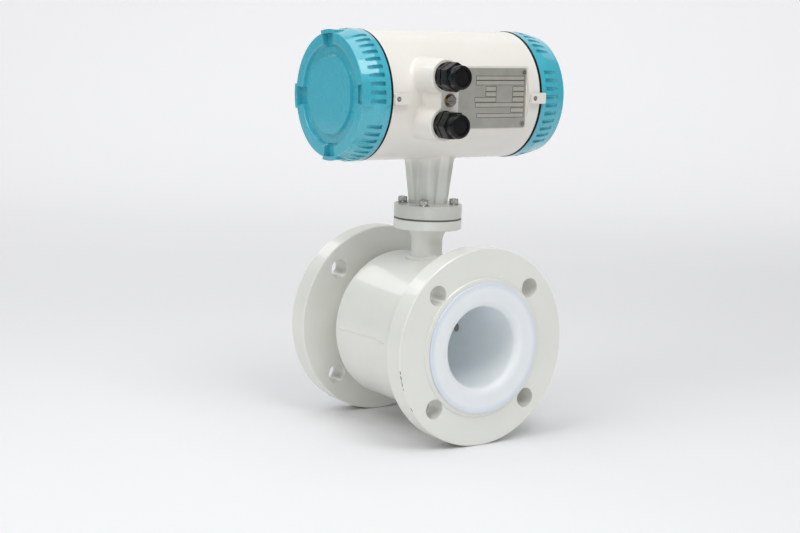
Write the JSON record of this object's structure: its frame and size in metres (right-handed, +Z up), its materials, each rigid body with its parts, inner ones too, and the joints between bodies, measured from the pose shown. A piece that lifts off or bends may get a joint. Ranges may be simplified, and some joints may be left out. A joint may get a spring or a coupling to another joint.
{
  "type": "electromagnetic flow meter",
  "caption": "Flanged electromagnetic flow meter with a smooth white liner and a round two-ended converter housing on a neck.",
  "frame": {"origin": "centre of the pipe bore, midway between the two liner faces", "axes": "+X along the flow towards the outlet flange and out of the cable glands, +Y towards the window cover, +Z up the neck to the converter"},
  "size_m": [0.2145, 0.2368, 0.3912],
  "materials": {
    "white_enamel": "satin off-white paint",
    "housing_paint": "smooth warm white powder coat",
    "teal_paint": "smooth teal powder coat",
    "ptfe": "smooth white fluoropolymer",
    "alloy": "plain corrosion-proof alloy",
    "steel": "plain steel",
    "brass": "plain brass",
    "copper_winding": "varnished copper winding",
    "core_iron": "plain soft iron",
    "rubber": "black rubber",
    "nylon": "black moulded nylon",
    "insulator": "plain insulating plastic",
    "glass": "clear toughened glass",
    "plate_metal": "brushed metal",
    "screen": "dark liquid crystal glass",
    "bezel_plastic": "dark moulded plastic",
    "key_rubber": "grey silicone rubber",
    "circuit_board": "green lacquered laminate",
    "terminal_green": "green moulded plastic"
  },
  "bodies": {
    "meter": {"measuring_tube": "alloy", "inlet_flange": "white_enamel", "outlet_flange": "white_enamel", "coil_casing": "white_enamel", "ptfe_liner": "ptfe", "left_electrode": "alloy", "right_electrode": "alloy", "electrode_bushes": "insulator", "electrode_nuts": "steel", "upper_coil": "copper_winding", "lower_coil": "copper_winding", "upper_pole_shoe": "core_iron", "lower_pole_shoe": "core_iron", "coil_yoke": "core_iron", "neck_stub": "white_enamel", "neck_gasket": "rubber", "converter_housing": "housing_paint", "neck_screws": "steel", "neck_washers": "steel", "upper_gland_body": "nylon", "upper_gland_seal": "rubber", "lower_gland_body": "nylon", "lower_gland_seal": "rubber", "gland_washers": "rubber", "ground_screw": "steel", "ground_washer": "brass", "nameplate": "plate_metal", "nameplate_screws": "steel", "blind_lock_screw": "steel", "window_lock_screw": "steel", "display_bezel": "bezel_plastic", "lcd_panel": "screen", "display_board": "circuit_board", "power_board": "circuit_board", "main_board": "circuit_board", "board_spacers": "brass", "terminal_block": "terminal_green", "terminal_screws": "steel"},
    "blind_seal": {"blind_cover_oring": "rubber"},
    "blind_cover": {"blind_cover": "teal_paint"},
    "window_seal": {"window_cover_oring": "rubber"},
    "window_cover": {"window_cover": "teal_paint", "window_glass": "glass", "window_gasket": "rubber", "glass_retainer": "steel"},
    "upper_plug": {"upper_gland_plug": "rubber"},
    "upper_nut": {"upper_gland_nut": "nylon"},
    "lower_plug": {"lower_gland_plug": "rubber"},
    "lower_nut": {"lower_gland_nut": "nylon"},
    "blind_lock": {"blind_lock_plate": "housing_paint"},
    "window_lock": {"window_lock_plate": "housing_paint"},
    "menu_key": {"menu_key": "key_rubber"},
    "left_key": {"left_key": "key_rubber"},
    "up_key": {"up_key": "key_rubber"},
    "enter_key": {"enter_key": "key_rubber"}
  },
  "joints": [
    {"name": "blind_cover_travel", "type": "slide", "parent": "meter", "child": "blind_seal", "axis": [0, -1, 0], "range_m": [0, 0.0125]},
    {"name": "blind_cover_turn", "type": "hinge", "parent": "blind_seal", "child": "blind_cover", "pos_m": [0, -0.0895, 0.2335], "axis": [0, -1, 0], "range_deg": [0, 2160]},
    {"name": "window_cover_travel", "type": "slide", "parent": "meter", "child": "window_seal", "axis": [0, 1, 0], "range_m": [0, 0.0125]},
    {"name": "window_cover_turn", "type": "hinge", "parent": "window_seal", "child": "window_cover", "pos_m": [0, 0.0873, 0.2335], "axis": [0, 1, 0], "range_deg": [0, 2160]},
    {"name": "upper_nut_travel", "type": "slide", "parent": "meter", "child": "upper_plug", "axis": [1, 0, 0], "range_m": [0, 0.003]},
    {"name": "upper_nut_turn", "type": "hinge", "parent": "upper_plug", "child": "upper_nut", "pos_m": [0.0965, -0.0475, 0.2555], "axis": [1, 0, 0], "range_deg": [0, 725]},
    {"name": "lower_nut_travel", "type": "slide", "parent": "meter", "child": "lower_plug", "axis": [1, 0, 0], "range_m": [0, 0.003]},
    {"name": "lower_nut_turn", "type": "hinge", "parent": "lower_plug", "child": "lower_nut", "pos_m": [0.0965, -0.0475, 0.2115], "axis": [1, 0, 0], "range_deg": [0, 725]},
    {"name": "blind_lock_swing", "type": "hinge", "parent": "meter", "child": "blind_lock", "pos_m": [0.063, -0.0835, 0.2335], "axis": [1, 0, 0], "range_deg": [0, 180]},
    {"name": "window_lock_swing", "type": "hinge", "parent": "meter", "child": "window_lock", "pos_m": [0.063, 0.076, 0.2335], "axis": [1, 0, 0], "range_deg": [0, 180]},
    {"name": "menu_key_press", "type": "slide", "parent": "meter", "child": "menu_key", "axis": [0, -1, 0], "range_m": [0, 0.0008], "stiffness_N_per_m": 800, "springref_m": -0.0005},
    {"name": "left_key_press", "type": "slide", "parent": "meter", "child": "left_key", "axis": [0, -1, 0], "range_m": [0, 0.0008], "stiffness_N_per_m": 800, "springref_m": -0.0005},
    {"name": "up_key_press", "type": "slide", "parent": "meter", "child": "up_key", "axis": [0, -1, 0], "range_m": [0, 0.0008], "stiffness_N_per_m": 800, "springref_m": -0.0005},
    {"name": "enter_key_press", "type": "slide", "parent": "meter", "child": "enter_key", "axis": [0, -1, 0], "range_m": [0, 0.0008], "stiffness_N_per_m": 800, "springref_m": -0.0005}
  ],
  "couplings": [
    {"joint": "blind_cover_travel", "follows": "blind_cover_turn", "m_per_rad": 0.00031831},
    {"joint": "window_cover_travel", "follows": "window_cover_turn", "m_per_rad": 0.00031831},
    {"joint": "upper_nut_turn", "follows": "upper_nut_travel", "rad_per_m": 4188.8},
    {"joint": "lower_nut_turn", "follows": "lower_nut_travel", "rad_per_m": 4188.8}
  ]
}
